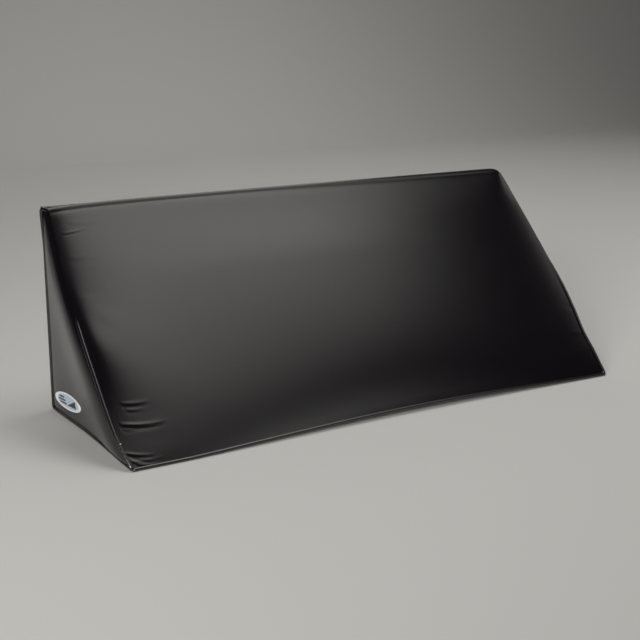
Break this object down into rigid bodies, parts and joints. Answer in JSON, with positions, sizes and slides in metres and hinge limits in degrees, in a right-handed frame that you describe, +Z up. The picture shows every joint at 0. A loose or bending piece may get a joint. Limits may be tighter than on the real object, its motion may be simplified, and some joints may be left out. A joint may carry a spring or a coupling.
{
  "type": "slant board",
  "caption": "Upholstered foam wedge with a slope of about 47 degrees, a sewn and piped coated-fabric cover, an oval end badge and a zip low across the back.",
  "frame": {"origin": "middle of the base face, on the surface that the wedge stands on", "axes": "+X across the width towards the right-hand end seen from the toe, +Y from the toe edge to the back, +Z up"},
  "size_m": [0.61, 0.23, 0.224],
  "materials": {
    "cover_cloth": "satin polyurethane-coated stretch fabric",
    "piping_cloth": "satin polyurethane-coated stretch fabric, wrapped round a cord",
    "non_slip_cloth": "matt woven cloth with small rubber dots",
    "foam": "open-cell polyurethane foam",
    "filler_cord": "twisted cotton cord",
    "zip_tape": "woven polyester tape",
    "zip_coil": "nylon coil",
    "zip_metal": "black enamelled zinc",
    "thread": "bonded polyester thread",
    "badge_field": "satin moulded rubber, pale blue grey",
    "badge_rim": "satin moulded rubber, white",
    "badge_emblem": "satin moulded rubber, dark slate",
    "label": "blank white satin ribbon"
  },
  "bodies": {
    "wedge": {"foam_core": "foam", "base_panel": "non_slip_cloth", "bar_tacks": "thread", "badge_patch": "badge_field", "badge_rim": "badge_rim", "badge_emblem": "badge_emblem", "care_label": "label", "slope_panel": "cover_cloth", "end_panel_left": "cover_cloth", "end_panel_right": "cover_cloth", "back_panel": "cover_cloth", "back_strip": "cover_cloth", "zip_end_tab_left": "cover_cloth", "zip_end_tab_right": "cover_cloth", "piping_sleeve_left": "piping_cloth", "piping_sleeve_right": "piping_cloth", "piping_sleeve_toe": "piping_cloth", "piping_sleeve_ridge": "piping_cloth", "piping_sleeve_heel": "piping_cloth", "piping_cord_left": "filler_cord", "piping_cord_right": "filler_cord", "piping_cord_toe": "filler_cord", "piping_cord_ridge": "filler_cord", "piping_cord_heel": "filler_cord", "zip_tape_upper": "zip_tape", "zip_tape_lower": "zip_tape", "zip_coil_upper": "zip_coil", "zip_coil_lower": "zip_coil", "zip_bottom_stop": "zip_metal", "zip_top_stops": "zip_metal"},
    "slider": {"zip_slider": "zip_metal"},
    "pull_tab": {"zip_pull_tab": "zip_metal"}
  },
  "joints": [
    {"name": "zip_slide", "type": "slide", "parent": "wedge", "child": "slider", "axis": [-1, 0, 0], "range_m": [0, 0.532]},
    {"name": "tab_swing", "type": "hinge", "parent": "slider", "child": "pull_tab", "pos_m": [0.2676, 0.11515, 0.04], "axis": [0, 0, -1], "range_deg": [0, 170]}
  ]
}
